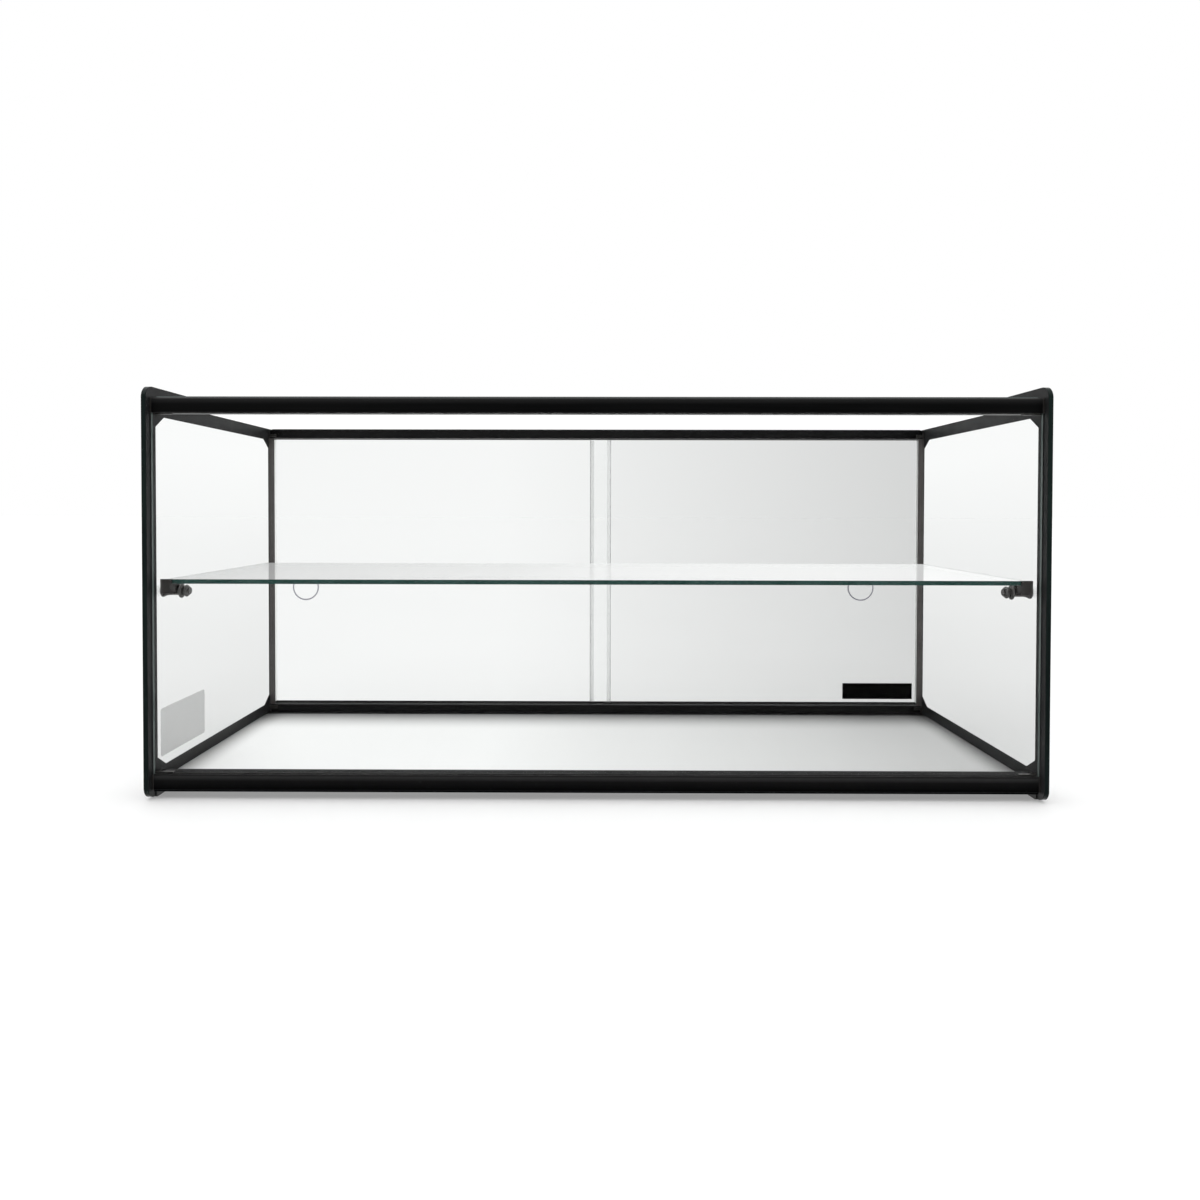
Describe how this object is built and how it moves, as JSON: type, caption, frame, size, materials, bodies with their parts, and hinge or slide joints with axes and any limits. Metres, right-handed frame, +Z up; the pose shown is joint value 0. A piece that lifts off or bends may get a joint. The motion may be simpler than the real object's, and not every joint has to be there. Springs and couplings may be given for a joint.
{
  "type": "countertop display case",
  "caption": "Free-standing glass countertop display case with black-bordered side panes, extruded cross rails, a glass shelf on pegs and sliding doors at the back.",
  "frame": {"origin": "middle of the base, on the table", "axes": "+X along the case to the right seen from the front, +Y from the front pane to the doors, +Z up"},
  "size_m": [0.9204, 0.348, 0.4205],
  "materials": {
    "clear_glass": "polished float glass with a green edge",
    "pale_panel": "satin white sheet",
    "black_enamel": "fired black enamel",
    "black_anodised": "satin black anodised extrusion",
    "black_plastic": "moulded black nylon",
    "black_rubber": "soft black rubber",
    "clear_strip": "milky clear plastic",
    "black_screw": "black oxide steel"
  },
  "bodies": {
    "case": {"left_side_pane": "clear_glass", "right_side_pane": "clear_glass", "front_pane": "clear_glass", "top_pane": "clear_glass", "shelf": "clear_glass", "floor_pane": "pale_panel", "left_border": "black_enamel", "right_border": "black_enamel", "front_top_rail": "black_anodised", "front_bottom_rail": "black_anodised", "rear_top_rail": "black_anodised", "rear_bottom_rail": "black_anodised", "left_jamb": "black_anodised", "right_jamb": "black_anodised", "front_top_left_connector": "black_plastic", "front_top_right_connector": "black_plastic", "front_bottom_left_connector": "black_plastic", "front_bottom_right_connector": "black_plastic", "rear_top_left_connector": "black_plastic", "rear_top_right_connector": "black_plastic", "rear_bottom_left_connector": "black_plastic", "rear_bottom_right_connector": "black_plastic", "upper_door_track": "black_plastic", "lower_door_track": "black_plastic", "left_front_clip": "black_plastic", "left_rear_clip": "black_plastic", "right_front_clip": "black_plastic", "right_rear_clip": "black_plastic", "clip_washers": "black_plastic", "rail_washers": "black_plastic", "clip_cushion_rings": "black_rubber", "clip_end_rings": "black_rubber", "front_pane_upper_gasket": "black_rubber", "front_pane_lower_gasket": "black_rubber", "top_pane_front_tape": "black_rubber", "top_pane_rear_tape": "black_rubber", "floor_front_tape": "black_rubber", "floor_rear_tape": "black_rubber", "left_front_foot": "black_rubber", "left_rear_foot": "black_rubber", "right_front_foot": "black_rubber", "right_rear_foot": "black_rubber", "clip_screws": "black_screw", "rail_screws": "black_screw"},
    "left_door": {"left_door_pane": "clear_glass", "left_door_strip": "clear_strip"},
    "right_door": {"right_door_pane": "clear_glass", "right_door_strip": "clear_strip"}
  },
  "joints": [
    {"name": "left_door_slide", "type": "slide", "parent": "case", "child": "left_door", "axis": [1, 0, 0], "range_m": [0, 0.42]},
    {"name": "right_door_slide", "type": "slide", "parent": "case", "child": "right_door", "axis": [-1, 0, 0], "range_m": [0, 0.42]}
  ]
}
